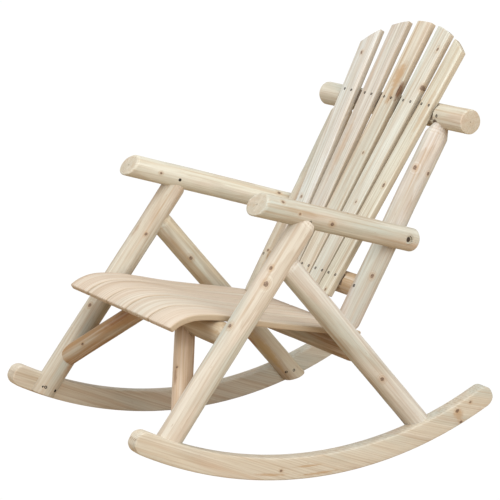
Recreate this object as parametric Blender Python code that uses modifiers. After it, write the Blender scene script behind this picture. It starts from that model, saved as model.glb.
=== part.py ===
"""Log rocking chair with a fanned slat back, as separate pieces with real joints.

Metres. +Z is up, the front of the chair faces -Y, and +X is the sitter's left.
Every side view position is a (y, z) pair measured with the chair rolled a
little forward, from the lowest line of its rockers. REST then rolls the whole
chair back to where it balances by itself, and puts the origin under the middle
of its box.
"""

import math

import bmesh
import bpy
from mathutils import Matrix, Vector

# --- driving dimensions -------------------------------------------------------

LEAN_BACK = math.radians(2.585)
STAND_FLAT = 0.0600
SHIFT = 0.0369
SINK = 0.000462
GAP = 0.0003
SIDES = 20

ROCKER_R = 1.025
ROCKER_DEPTH = 0.052
ROCKER_THICK = 0.035
ROCKER_IN = 0.2935
ROCKER_FRONT = -0.5010
ROCKER_REAR = 0.4410
ROCKER_NOSE = 0.0240

SIDE_X = 0.292
LEG_R = 0.0283
LEG_FOOT = (-0.3718, 0.1783)
LEG_LEAN = math.radians(52.16)
BRACE_R = 0.0272
BRACE_AT = (0.0, 0.3652)
BRACE_LEAN = math.radians(131.09)

ARM_R = 0.0272
ARM_Z = 0.5760
ARM_SLOPE = math.radians(16.86)
ARM_FRONT = -0.2086
ARM_REAR = 0.2600
ARM_FRONT_X = 0.3010
ARM_SAWN = 0.0230
ARM_SLANT = 0.40
ARM_SKEW = 0.25
ARM_NOTCH = 0.0020

POST_R = 0.0278
POST_X = 0.2000
BACK_LOW = (0.1593, 0.3853)
BACK_LEAN = math.radians(59.66)
BACK_SPAN = 0.4430
TOP_BAR_R = 0.0286
TOP_BAR_HALF = 0.2969
LOW_BAR_R = 0.0268

SLAT_THICK = 0.0150
SLAT_FACE_LOW = (0.1285, 0.4079)
SLAT_FACE_HIGH = (0.3568, 0.7933)
SLAT_FOOT = -0.0510
SLAT_SPAN = 0.6000
SLAT_EDGES = (
    ((0.0888, 0.1400), (0.1450, 0.1950)),
    ((0.0308, 0.0852), (0.0610, 0.1200)),
    ((-0.0290, 0.0272), (-0.0250, 0.0335)),
    ((-0.0890, -0.0325), (-0.1180, -0.0560)),
    ((-0.1450, -0.0935), (-0.2170, -0.1530)),
)
ARCH_TOP = 0.6540
ARCH_R = 0.3420
SLAT_SCREW_APART = 0.0145
FLAT_SPARE = 0.0080

SEAT_THICK = 0.0140
SEAT_LINE = (
    (-0.3740, 0.3705), (-0.3550, 0.3815), (-0.3270, 0.3895), (-0.2960, 0.3905),
    (-0.2500, 0.3845), (-0.2000, 0.3725), (-0.1300, 0.3540), (-0.0500, 0.3360),
    (0.0400, 0.3175), (0.0900, 0.3060), (0.1250, 0.2978),
)
SEAT_SEAMS = (-0.2464, -0.1540, -0.0590, 0.0360, 0.1410, 0.2464)
SEAM = 0.0030
RAIL_R = 0.0272
FRONT_RAIL_Y = -0.2400
REAR_RAIL_Y = 0.1000

KNEE_R = 0.0230
KNEE_LOW = -0.0020

NECK = 0.62
CONE = 0.0240
TENON_R = 0.0140
TENON_LONG = 0.0180

SCREW_HEAD_R = 0.0030
SCREW_HEAD = 0.0026
SCREW_R = 0.0016
SLAT_SCREW_LONG = 0.0340
LAP_SCREW_LONG = 0.0480
BOLT_HEAD_R = 0.0062
BOLT_HEAD = 0.0045
BOLT_R = 0.0035
BOLT_LONG = 0.0700
BOLT_SUNK = 0.0060

WOOD = (0.74, 0.63, 0.45, 1.0)
STEEL = (0.16, 0.14, 0.12, 1.0)

# --- a clean scene with two collections --------------------------------------

for old in list(bpy.data.objects):
    bpy.data.objects.remove(old, do_unlink=True)
chair = bpy.data.collections.new("log_rocking_chair")
cutters = bpy.data.collections.new("cutters")
bpy.context.scene.collection.children.link(chair)
bpy.context.scene.collection.children.link(cutters)
cutters.hide_render = True

REST = (Matrix.Translation(Vector((0, SHIFT, ROCKER_R - SINK)))
        @ Matrix.Rotation(-LEAN_BACK, 4, "X") @ Matrix.Translation(Vector((0, 0, -ROCKER_R))))


def finish(name, mesh, place, cutter, colour=WOOD):
    """Link the mesh as a piece with its own material, or as a hidden cutter."""
    piece = bpy.data.objects.new(name, mesh)
    piece.matrix_world = REST @ place
    if cutter:
        cutters.objects.link(piece)
        piece.hide_render = True
        piece.display_type = "WIRE"
        return piece
    chair.objects.link(piece)
    material = bpy.data.materials.new(name)
    material.use_nodes = True
    shader = material.node_tree.nodes["Principled BSDF"]
    shader.inputs["Base Color"].default_value = colour
    shader.inputs["Roughness"].default_value = 0.35 if colour is STEEL else 0.65
    shader.inputs["Metallic"].default_value = 1.0 if colour is STEEL else 0.0
    mesh.materials.append(material)
    return piece


def point(x, yz):
    return Vector((x, yz[0], yz[1]))


def frame(start, end):
    """A placing matrix at start whose own Z runs towards end."""
    z = (end - start).normalized()
    x = Vector((1, 0, 0)) if abs(z.x) < 0.9 else Vector((0, 1, 0))
    y = z.cross(x).normalized()
    x = y.cross(z)
    turn = Matrix((x, y, z)).transposed().to_4x4()
    return Matrix.Translation(start) @ turn


def lathe(name, profile, place, cutter=False, colour=WOOD, sides=SIDES):
    """A turned piece: profile is (radius, height) pairs, listed from the bottom up."""
    mesh = bpy.data.meshes.new(name)
    points = [(r, 0.0, z) for r, z in reversed(profile)]
    mesh.from_pydata(points, [(i, i + 1) for i in range(len(points) - 1)], [])
    piece = finish(name, mesh, place, cutter, colour)
    turn = piece.modifiers.new("turn", "SCREW")
    turn.steps = turn.render_steps = sides
    turn.use_merge_vertices = True
    turn.merge_threshold = 0.00001
    turn.use_smooth_shade = True
    return piece


def rod(name, start, end, radius, cutter=True, sides=SIDES):
    long = (end - start).length
    profile = [(0, 0), (radius, 0), (radius, long), (0, long)]
    return lathe(name, profile, frame(start, end), cutter, sides=sides)


def log(name, start, end, radius, low=None, high=None):
    """A peeled log; low and high are (radius, length) of a cone cut on that end."""
    long = (end - start).length
    low_r, low_long = low or (radius - 0.0025, 0.0025)
    high_r, high_long = high or (radius - 0.0025, 0.0025)
    profile = [(0, 0), (low_r, 0), (radius, low_long), (radius, long / 2),
               (radius, long - high_long), (high_r, long), (0, long)]
    return lathe(name, profile, frame(start, end))


def boolean(piece, other, operation):
    step = piece.modifiers.new(operation.lower() + "_" + other.name, "BOOLEAN")
    step.operation = operation
    step.object = other
    step.solver = "EXACT"


def cut(piece, other):
    boolean(piece, other, "DIFFERENCE")


def board(name, outline, thick, place, soften=0.002, cutter=False):
    """A flat board: a filled 2D outline in its own XY plane, with thick along its Z."""
    flat = bpy.data.curves.new(name + "_outline", "CURVE")
    flat.dimensions = "2D"
    flat.fill_mode = "BOTH"
    flat.extrude = thick / 2
    line = flat.splines.new("POLY")
    line.points.add(len(outline) - 1)
    for spot, (u, v) in zip(line.points, outline):
        spot.co = (u, v, 0, 1)
    line.use_cyclic_u = True
    drawn = bpy.data.objects.new(name + "_outline", flat)
    cutters.objects.link(drawn)
    mesh = bpy.data.meshes.new_from_object(drawn)
    bpy.data.objects.remove(drawn, do_unlink=True)
    bpy.data.curves.remove(flat)
    mesh.name = name
    shape = bmesh.new()
    shape.from_mesh(mesh)
    bmesh.ops.remove_doubles(shape, verts=shape.verts, dist=0.00001)
    bmesh.ops.dissolve_limit(shape, angle_limit=0.001, verts=shape.verts, edges=shape.edges)
    bmesh.ops.recalc_face_normals(shape, faces=shape.faces)
    shape.to_mesh(mesh)
    shape.free()
    mesh.materials.clear()
    piece = finish(name, mesh, place, cutter)
    if soften:
        bevel = piece.modifiers.new("soften", "BEVEL")
        bevel.width = soften
        bevel.segments = 1
        bevel.limit_method = "ANGLE"
        bevel.angle_limit = math.radians(40)
    return piece


def side_place(x):
    """Board placing for an outline given as (y, z), with its thickness along X."""
    turn = Matrix(((0, 0, 1), (1, 0, 0), (0, 1, 0))).to_4x4()
    return Matrix.Translation(Vector((x, 0, 0))) @ turn


def along(at, lean, distance):
    return (at[0] + math.cos(lean) * distance, at[1] + math.sin(lean) * distance)


def reach_arc(at, lean, radius):
    """How far down a leaning line from at it meets the arc of this radius."""
    y, z = at[0], at[1] - ROCKER_R
    c, s = math.cos(lean), math.sin(lean)
    b = y * c + z * s
    return -b - math.sqrt(b * b - (y * y + z * z - radius * radius))


def crossing(at_a, lean_a, at_b, lean_b):
    """Distance along line a to the point where line b crosses it in side view."""
    ca, sa, cb, sb = (math.cos(lean_a), math.sin(lean_a), math.cos(lean_b), math.sin(lean_b))
    dy, dz = at_b[0] - at_a[0], at_b[1] - at_a[1]
    return (dy * sb - dz * cb) / (ca * sb - sa * cb)


# --- rockers ------------------------------------------------------------------


def arc_spots(low, high, touch, count=22):
    """Distances along the rocker from low to high, with a flat of STAND_FLAT about touch."""
    fore, aft = touch - STAND_FLAT / 2, touch + STAND_FLAT / 2
    before = round((count - 1) * (fore - low) / (fore - low + high - aft))
    after = count - 1 - before
    front = [low + (fore - low) * i / before for i in range(before + 1)]
    return front + [aft + (high - aft) * i / after for i in range(after + 1)]


def arc_outline(inner, outer, spots, nose=0.0):
    """Outline of a bent bar between two radii about the rocker centre.

    It has a corner at each of spots, and rounded ends that reach nose beyond them.
    """
    ring = [(s, outer) for s in spots]
    back = [(s, inner) for s in reversed(spots)]
    if nose:
        corner = [(nose * math.sin(math.radians(a)), nose * (1 - math.cos(math.radians(a))))
                  for a in (30, 60, 90)]
        ring += [(spots[-1] + a, outer - b) for a, b in corner]
        ring += [(spots[-1] + a, inner + b) for a, b in reversed(corner)]
        back += [(spots[0] - a, inner + b) for a, b in corner]
        back += [(spots[0] - a, outer - b) for a, b in reversed(corner)]
    points = []
    for s, rho in ring + back:
        turn = s / rocker_mid
        points.append((rho * math.sin(turn), ROCKER_R - rho * math.cos(turn)))
    return points


rocker_top = ROCKER_R - ROCKER_DEPTH
rocker_mid = ROCKER_R - ROCKER_DEPTH / 2
rocker_x = ROCKER_IN + ROCKER_THICK / 2
spots = arc_spots(math.asin(ROCKER_FRONT / rocker_mid) * rocker_mid + ROCKER_NOSE,
                  math.asin(ROCKER_REAR / rocker_mid) * rocker_mid - ROCKER_NOSE,
                  LEAN_BACK * rocker_mid)

rockers = {}
lap_cut, foot_cut = {}, {}
for side, x in (("left", 1), ("right", -1)):
    outline = arc_outline(rocker_top, ROCKER_R, spots, ROCKER_NOSE)
    rockers[side] = board("rocker_" + side, outline, ROCKER_THICK, side_place(x * rocker_x))
    outline = arc_outline(rocker_top - GAP, ROCKER_R + 0.08, spots)
    lap_cut[side] = board("lap_" + side, outline, 0.060,
                          side_place(x * (ROCKER_IN - GAP + 0.030)), 0, True)
    outline = arc_outline(ROCKER_R - 0.004, ROCKER_R + 0.09, spots)
    foot_cut[side] = board("foot_" + side, outline, 0.150, side_place(x * SIDE_X), 0, True)

# --- side frames: leaning legs, rear braces and arms ---------------------------

arm_dir = -ARM_SLOPE
arm_at = (0.0, ARM_Z)
leg_top = crossing(LEG_FOOT, LEG_LEAN, arm_at, arm_dir)
leg_end = leg_top - 0.004
leg_low = reach_arc(LEG_FOOT, LEG_LEAN, ROCKER_R) - 0.035
brace_low = reach_arc(BRACE_AT, BRACE_LEAN, ROCKER_R) - 0.035
brace_top = crossing(BRACE_AT, BRACE_LEAN, LEG_FOOT, LEG_LEAN)

arm_rear_x = POST_X + POST_R + ARM_R - ARM_NOTCH
post_dir = BACK_LEAN
arm_meets_post = crossing(arm_at, arm_dir, BACK_LOW, post_dir)
post_meets_arm = along(arm_at, arm_dir, arm_meets_post)
splay = (arm_rear_x - ARM_FRONT_X) / (post_meets_arm[0] - ARM_FRONT)


def arm_point(side, y):
    """Point on the arm axis at this y, on the given side."""
    x = ARM_FRONT_X + splay * (y - ARM_FRONT)
    return point(side * x, (y, ARM_Z - math.tan(ARM_SLOPE) * y))


legs, braces, arms = {}, {}, {}
leg_rods, arm_rods, brace_rods, leg_tenons, brace_tenons = {}, {}, {}, {}, {}
for side, x in (("left", 1), ("right", -1)):
    low = point(x * SIDE_X, along(LEG_FOOT, LEG_LEAN, leg_low))
    high = point(x * SIDE_X, along(LEG_FOOT, LEG_LEAN, leg_top - ARM_R * 0.55))
    legs[side] = log("front_leg_" + side, low, high, LEG_R, high=(LEG_R * NECK, CONE))
    far = (high - low).normalized()
    leg_rods[side] = rod("leg_rod_" + side, low - far * 0.05, high + far * 0.2, LEG_R + GAP)
    leg_tenons[side] = (high - far * 0.030, high + far * TENON_LONG, far)

    low = point(x * SIDE_X, along(BRACE_AT, BRACE_LEAN, brace_low))
    high = point(x * SIDE_X, along(BRACE_AT, BRACE_LEAN, brace_top - LEG_R * 0.60))
    braces[side] = log("rear_brace_" + side, low, high, BRACE_R, high=(BRACE_R * NECK, CONE))
    far = (high - low).normalized()
    brace_rods[side] = rod("brace_rod_" + side, low - far * 0.05, high + far * 0.2, BRACE_R + GAP)
    brace_tenons[side] = (high - far * 0.030, high + far * TENON_LONG, far)

    front = arm_point(x, ARM_FRONT - 0.005)
    rear = arm_point(x, ARM_REAR)
    arms[side] = log("arm_" + side, front, rear, ARM_R, high=(ARM_R - 0.006, 0.006))
    run = (rear - front).normalized()
    arm_rods[side] = rod("arm_rod_" + side, front - run * 0.1, rear + run * 0.1, ARM_R + GAP)

    # The front of each arm is sawn on a slant, with its lower edge foremost.
    up = Vector((0, 0, 1))
    up = (up - run * up.dot(run)).normalized()
    back = (run - up * ARM_SLANT - Vector((1, 0, 0)) * ARM_SKEW).normalized()
    across = up.cross(back).normalized()
    turn = Matrix((back.cross(across), across, back)).transposed().to_4x4()
    if turn.determinant() < 0:
        turn = Matrix((across.cross(back), across, back)).transposed().to_4x4()
    centre = arm_point(x, ARM_FRONT) + run * ARM_SAWN - back * 0.040
    block = [(-0.08, -0.06), (0.08, -0.06), (0.08, 0.06), (-0.08, 0.06)]
    saw = board("arm_saw_" + side, block, 0.080, Matrix.Translation(centre) @ turn, 0, True)
    cut(arms[side], saw)


def add_tenon(piece, span, receiver, name):
    """A round tenon on piece and the blind hole for it in receiver."""
    start, end, far = span
    tenon = rod("tenon_" + name, start, end, TENON_R)
    boolean(piece, tenon, "UNION")
    hole = rod("mortise_" + name, start, end + far * GAP, TENON_R + GAP)
    cut(receiver, hole)


for side in ("left", "right"):
    cut(legs[side], arm_rods[side])
    cut(legs[side], lap_cut[side])
    cut(legs[side], foot_cut[side])
    cut(braces[side], leg_rods[side])
    cut(braces[side], lap_cut[side])
    cut(braces[side], foot_cut[side])
    add_tenon(legs[side], leg_tenons[side], arms[side], "leg_" + side)
    add_tenon(braces[side], brace_tenons[side], legs[side], "brace_" + side)

# --- seat ---------------------------------------------------------------------


def smooth_line(points, count=2):
    """Catmull-Rom samples through the given points."""
    ends = [points[0]] + list(points) + [points[-1]]
    line = []
    for i in range(1, len(ends) - 2):
        a, b, c, d = ends[i - 1:i + 3]
        for k in range(count):
            t = k / count
            line.append(tuple(
                0.5 * (2 * q + (r - p) * t + (2 * p - 5 * q + 4 * r - s) * t * t
                       + (3 * q - p - 3 * r + s) * t ** 3)
                for p, q, r, s in zip(a, b, c, d)))
    return line + [points[-1]]


def offset_line(line, distance):
    """The line moved along its own normal, downwards for a positive distance."""
    moved = []
    for i, (y, z) in enumerate(line):
        y0, z0 = line[max(i - 1, 0)]
        y1, z1 = line[min(i + 1, len(line) - 1)]
        long = math.hypot(y1 - y0, z1 - z0)
        moved.append((y + (z1 - z0) / long * distance, z - (y1 - y0) / long * distance))
    return moved


def line_at(line, y):
    """Index of the sample nearest to this y."""
    return min(range(len(line)), key=lambda i: abs(line[i][0] - y))


seat_top = smooth_line(SEAT_LINE)
seat_low = offset_line(seat_top, SEAT_THICK)
seat_outline = seat_top + seat_low[::-1]
seat_slats = []
for i in range(5):
    left, right = SEAT_SEAMS[i] + SEAM / 2, SEAT_SEAMS[i + 1] - SEAM / 2
    place = side_place((left + right) / 2)
    name = "seat_slat_%d" % (5 - i)
    seat_slats.append(board(name, seat_outline, right - left, place, 0.0028))

rails = {}
for name, y, holders, rods in (("front", FRONT_RAIL_Y, legs, leg_rods),
                               ("rear", REAR_RAIL_Y, braces, brace_rods)):
    spot = offset_line(seat_top, SEAT_THICK + GAP + RAIL_R)[line_at(seat_top, y)]
    reach = SIDE_X - LEG_R * 0.55
    left, right = point(reach, spot), point(-reach, spot)
    rail = log("seat_rail_" + name, right, left, RAIL_R,
               (RAIL_R * NECK, CONE), (RAIL_R * NECK, CONE))
    rails[name] = rail
    for side, x in (("left", 1), ("right", -1)):
        cut(rail, rods[side])
    for side, x in (("left", 1), ("right", -1)):
        far = Vector((x, 0, 0))
        end = point(x * reach, spot)
        span = (end - far * 0.030, end + far * TENON_LONG, far)
        add_tenon(rail, span, holders[side], name + "_rail_" + side)
    rails[name + "_spot"] = spot

# --- slanting front braces, from the legs up under the front rail ---------------

rail_rod = rod("front_rail_rod", point(-0.25, rails["front_spot"]),
               point(0.25, rails["front_spot"]), RAIL_R + GAP)
knee_low = along(LEG_FOOT, LEG_LEAN, KNEE_LOW)
knee_rise = crossing(knee_low, LEG_LEAN, (rails["front_spot"][0], rails["front_spot"][1]),
                     LEG_LEAN + math.pi / 2)
for side, x in (("left", 1), ("right", -1)):
    low = point(x * SIDE_X, knee_low)
    high = point(x * (SIDE_X - knee_rise), along(knee_low, LEG_LEAN, knee_rise))
    run = (high - low).normalized()
    knee = log("front_brace_" + side, low, high, KNEE_R)
    cut(knee, leg_rods[side])
    cut(knee, rail_rod)

# --- back: posts, crossbars and fanned slats ------------------------------------

top_bar_at = along(BACK_LOW, BACK_LEAN, BACK_SPAN)
top_bar = log("top_crossbar", point(-TOP_BAR_HALF, top_bar_at),
              point(TOP_BAR_HALF, top_bar_at), TOP_BAR_R)
top_rod = rod("top_bar_rod", point(-TOP_BAR_HALF - 0.02, top_bar_at),
              point(TOP_BAR_HALF + 0.02, top_bar_at), TOP_BAR_R + GAP)
low_bar = log("lower_crossbar", point(-POST_X + POST_R * 0.45, BACK_LOW),
              point(POST_X - POST_R * 0.45, BACK_LOW), LOW_BAR_R)

seat_block = board("seat_block", offset_line(seat_top, -GAP) + offset_line(seat_top, 0.05)[::-1],
                   0.60, side_place(0.0), 0, True)
post_foot = -0.1200
posts = {}
for side, x in (("left", 1), ("right", -1)):
    low = point(x * POST_X, along(BACK_LOW, BACK_LEAN, post_foot))
    high = point(x * POST_X, along(BACK_LOW, BACK_LEAN, BACK_SPAN - TOP_BAR_R * 0.6))
    post = log("back_post_" + side, low, high, POST_R,
               low=(POST_R * 0.72, 0.030), high=(POST_R * NECK, CONE))
    far = (high - low).normalized()
    cut(post, top_rod)
    cut(post, seat_block)
    add_tenon(post, (high - far * 0.030, high + far * TENON_LONG, far), top_bar, "post_" + side)
    post_rod = rod("post_rod_" + side, low - far * 0.05, high + far * 0.1, POST_R + GAP)
    cut(arms[side], post_rod)
    cut(low_bar, post_rod)
    posts[side] = post
for side, x in (("left", 1), ("right", -1)):
    far = Vector((x, 0, 0))
    end = point(x * (POST_X - POST_R * 0.45), BACK_LOW)
    add_tenon(low_bar, (end - far * 0.040, end + far * TENON_LONG, far), posts[side],
              "low_bar_" + side)

slat_lean = math.atan2(SLAT_FACE_HIGH[1] - SLAT_FACE_LOW[1], SLAT_FACE_HIGH[0] - SLAT_FACE_LOW[0])
slat_up = Vector((0, math.cos(slat_lean), math.sin(slat_lean)))
slat_out = Vector((0, -math.sin(slat_lean), math.cos(slat_lean)))
slat_row = math.dist(SLAT_FACE_LOW, SLAT_FACE_HIGH)
slat_turn = Matrix((Vector((1, 0, 0)), slat_up, slat_out)).transposed().to_4x4()


def slat_spot(x, s, depth):
    """Point at height s up the back, this far behind the front face of the slats."""
    return point(x, SLAT_FACE_LOW) + slat_up * s - slat_out * depth


def slat_edge(n, s, hand):
    """Where slat n ends to one hand at height s; 0 is the sitter's leftmost slat."""
    low, high = SLAT_EDGES[n]
    k = (1 + hand) // 2
    return low[k] + (high[k] - low[k]) * s / SLAT_SPAN


def slat_middle(n, s):
    return (slat_edge(n, s, 1) + slat_edge(n, s, -1)) / 2


def arch(x):
    return ARCH_TOP - ARCH_R + math.sqrt(ARCH_R ** 2 - x * x)


def slat_bed(name, spare):
    """Cutter for the room behind the slats, this much wider than they are."""
    outline = [(slat_edge(n, s, hand) + hand * spare, s)
               for n, hand, s in ((4, -1, -0.10), (0, 1, -0.10), (0, 1, 0.60), (4, -1, 0.60))]
    place = Matrix.Translation(slat_spot(0, 0, SLAT_THICK + GAP - 0.025)) @ slat_turn
    return board(name, outline, 0.050, place, 0, True)


bar_bed = slat_bed("bar_bed", FLAT_SPARE)
post_bed = slat_bed("post_bed", 2 * GAP)
cut(top_bar, bar_bed)
cut(low_bar, bar_bed)
for side in ("left", "right"):
    cut(posts[side], post_bed)


def screw(name, head, into, long, head_r, head_long, shank_r, holes):
    """A flush fastener from head along into, and its clearance hole in each piece."""
    place = frame(head + into * long, head)
    profile = [(0, 0), (shank_r * 0.5, 0), (shank_r, 0.004), (shank_r, long - head_long),
               (head_r, long - head_long), (head_r, long), (0, long)]
    lathe(name, profile, place, colour=STEEL, sides=8)
    step = long - head_long - GAP
    profile = [(0, -GAP), (shank_r + GAP, -GAP), (shank_r + GAP, step), (head_r + GAP, step),
               (head_r + GAP, long + 0.025), (0, long + 0.025)]
    hole = lathe("hole_" + name, profile, place, True, sides=8)
    for piece in holes:
        cut(piece, hole)


for n in range(5):
    top = []
    left = slat_edge(n, ARCH_TOP, -1)
    right = slat_edge(n, ARCH_TOP, 1)
    for k in range(7):
        x = right + (left - right) * k / 6
        top.append((x, arch(x)))
    for end, hand in ((0, 1), (-1, -1)):
        s = arch(top[end][0])
        top[end] = (slat_edge(n, s, hand), s)
    outline = [(slat_edge(n, SLAT_FOOT, -1), SLAT_FOOT), (slat_edge(n, SLAT_FOOT, 1), SLAT_FOOT)]
    place = Matrix.Translation(slat_spot(0, 0, SLAT_THICK / 2)) @ slat_turn
    slat = board("back_slat_%d" % (n + 1), outline + top, SLAT_THICK, place, 0.0018)
    for row, s, bar in (("low", 0.0, low_bar), ("top", slat_row, top_bar)):
        for hand, mark in ((1, "a"), (-1, "b")):
            head = slat_spot(slat_middle(n, s) + hand * SLAT_SCREW_APART, s, 0.0006)
            screw("slat_screw_%s_%d%s" % (row, n + 1, mark), head, -slat_out, SLAT_SCREW_LONG,
                  SCREW_HEAD_R, SCREW_HEAD, SCREW_R, (slat, bar))

# --- fasteners at the rockers and at the rear of the arms -----------------------

LAP_SCREWS = (
    ("front", "a", (-0.4375, 0.1225)), ("front", "b", (-0.4115, 0.1095)),
    ("rear", "a", (0.2440, 0.0625)), ("rear", "b", (0.2680, 0.0695)),
)
for side, x in (("left", 1), ("right", -1)):
    for where, mark, spot in LAP_SCREWS:
        holder = legs[side] if where == "front" else braces[side]
        head = point(x * (SIDE_X - LEG_R + 0.0060), spot)
        screw("lap_screw_%s_%s_%s" % (where, side, mark), head, Vector((x, 0, 0)),
              LAP_SCREW_LONG, SCREW_HEAD_R, SCREW_HEAD, SCREW_R, (holder, rockers[side]))
    head = point(x * (arm_rear_x + ARM_R - BOLT_SUNK), post_meets_arm)
    screw("arm_bolt_" + side, head, Vector((-x, 0, 0)), BOLT_LONG,
          BOLT_HEAD_R, BOLT_HEAD, BOLT_R, (arms[side], posts[side]))
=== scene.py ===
"""Looks of a log rocking chair: peeled logs, sawn slats and bent plank rockers.

Side view positions are (y, z) pairs in metres with the chair rolled a little
forward, from the lowest line of its rockers. REST rolls the whole chair back to
where it balances by itself, and centres it over the origin.
"""

import math

import bmesh
import bpy
import numpy as np
from mathutils import Matrix, Vector


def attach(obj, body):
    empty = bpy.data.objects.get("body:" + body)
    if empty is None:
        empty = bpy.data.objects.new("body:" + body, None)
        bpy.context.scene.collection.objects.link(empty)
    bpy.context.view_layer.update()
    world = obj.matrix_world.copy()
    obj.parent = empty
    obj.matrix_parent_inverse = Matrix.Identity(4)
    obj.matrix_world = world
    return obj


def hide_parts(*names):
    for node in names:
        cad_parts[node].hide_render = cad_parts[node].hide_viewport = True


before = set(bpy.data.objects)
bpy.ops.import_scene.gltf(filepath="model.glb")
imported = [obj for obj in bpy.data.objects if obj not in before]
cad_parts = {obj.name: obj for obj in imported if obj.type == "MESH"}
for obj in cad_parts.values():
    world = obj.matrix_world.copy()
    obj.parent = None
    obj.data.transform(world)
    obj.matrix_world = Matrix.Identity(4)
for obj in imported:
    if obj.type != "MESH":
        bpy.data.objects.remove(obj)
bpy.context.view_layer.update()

# --- sizes shared with the solid model ----------------------------------------

LEAN_BACK = math.radians(2.585)
SHIFT, SINK = 0.0369, 0.000462
ROCKER_R, ROCKER_DEPTH, ROCKER_THICK, ROCKER_IN = 1.025, 0.052, 0.035, 0.2935
ROCKER_FRONT, ROCKER_REAR, ROCKER_NOSE = -0.501, 0.441, 0.024
SIDE_X, LEG_R, LEG_FOOT, LEG_LEAN = 0.292, 0.0283, (-0.3718, 0.1783), math.radians(52.16)
BRACE_R, BRACE_AT, BRACE_LEAN = 0.0272, (0.0, 0.3652), math.radians(131.09)
ARM_R, ARM_Z, ARM_SLOPE = 0.0272, 0.5760, math.radians(16.86)
ARM_FRONT, ARM_REAR, ARM_FRONT_X, ARM_NOTCH = -0.2086, 0.2600, 0.3010, 0.0020
ARM_SAWN, ARM_SLANT, ARM_SKEW = 0.0230, 0.40, 0.25
POST_R, POST_X = 0.0278, 0.2000
BACK_LOW, BACK_LEAN, BACK_SPAN = (0.1593, 0.3853), math.radians(59.66), 0.4430
TOP_BAR_R, TOP_BAR_HALF, LOW_BAR_R = 0.0286, 0.2969, 0.0268
SLAT_THICK, SLAT_FOOT = 0.0150, -0.0510
SLAT_FACE_LOW, SLAT_FACE_HIGH = (0.1285, 0.4079), (0.3568, 0.7933)
SLAT_SPAN = 0.6000
SLAT_EDGES = (
    ((0.0888, 0.1400), (0.1450, 0.1950)),
    ((0.0308, 0.0852), (0.0610, 0.1200)),
    ((-0.0290, 0.0272), (-0.0250, 0.0335)),
    ((-0.0890, -0.0325), (-0.1180, -0.0560)),
    ((-0.1450, -0.0935), (-0.2170, -0.1530)),
)
ARCH_TOP, ARCH_R, SLAT_SCREW_APART = 0.6540, 0.3420, 0.0145
SEAT_THICK, SEAM = 0.0140, 0.0030
SEAT_LINE = ((-0.3740, 0.3705), (-0.3550, 0.3815), (-0.3270, 0.3895), (-0.2960, 0.3905),
             (-0.2500, 0.3845), (-0.2000, 0.3725), (-0.1300, 0.3540), (-0.0500, 0.3360),
             (0.0400, 0.3175), (0.0900, 0.3060), (0.1250, 0.2978))
SEAT_SEAMS = (-0.2464, -0.1540, -0.0590, 0.0360, 0.1410, 0.2464)
RAIL_R, FRONT_RAIL_Y, REAR_RAIL_Y = 0.0272, -0.2400, 0.1000
KNEE_R, KNEE_LOW = 0.0230, -0.0020
NECK, CONE = 0.62, 0.0240
TRIM = 0.0005  # how far the rockers and slats stay inside the solid model's box
FOOT_IN = 0.0040  # how far above the underside of its rocker each foot stops
END_IN = 0.45  # where an end stops inside another log: its distance from that log's axis, in radii
EAVE = 0.0080  # how far the flats cut on the crossbars run past the slats to each side
FIT, FLOOR_GAP = 0.0003, 0.0005  # room between seated pieces, and under the rockers
BOLT_HOLE = ((0, 0.0098), (0.0052, 0.0090), (0.0102, 0.0086))  # depth from its mouth, radius

REST = (Matrix.Translation(Vector((0, SHIFT, ROCKER_R - SINK)))
        @ Matrix.Rotation(-LEAN_BACK, 4, "X") @ Matrix.Translation(Vector((0, 0, -ROCKER_R))))
SIDES = (("left", 1), ("right", -1))


# --- node trees written as expressions ----------------------------------------


class Wire:
    """One socket of a node; arithmetic on it adds the Math nodes."""

    def __init__(self, tree, socket):
        self.tree, self.socket = tree, socket

    def out(self, name):
        """Another output of the same node."""
        return Wire(self.tree, self.socket.node.outputs[name])

    def math(self, operation, *others):
        return self.tree.add("ShaderNodeMath", {"operation": operation}, (self,) + others)

    def __add__(self, other):
        return self.math("ADD", other)

    def __sub__(self, other):
        return self.math("SUBTRACT", other)

    def __rsub__(self, other):
        return self.tree.add("ShaderNodeMath", {"operation": "SUBTRACT"}, (other, self))

    def __mul__(self, other):
        return self.math("MULTIPLY", other)

    def __truediv__(self, other):
        return self.math("DIVIDE", other)

    def __rtruediv__(self, other):
        return self.tree.add("ShaderNodeMath", {"operation": "DIVIDE"}, (other, self))

    __radd__, __rmul__ = __add__, __mul__


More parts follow.
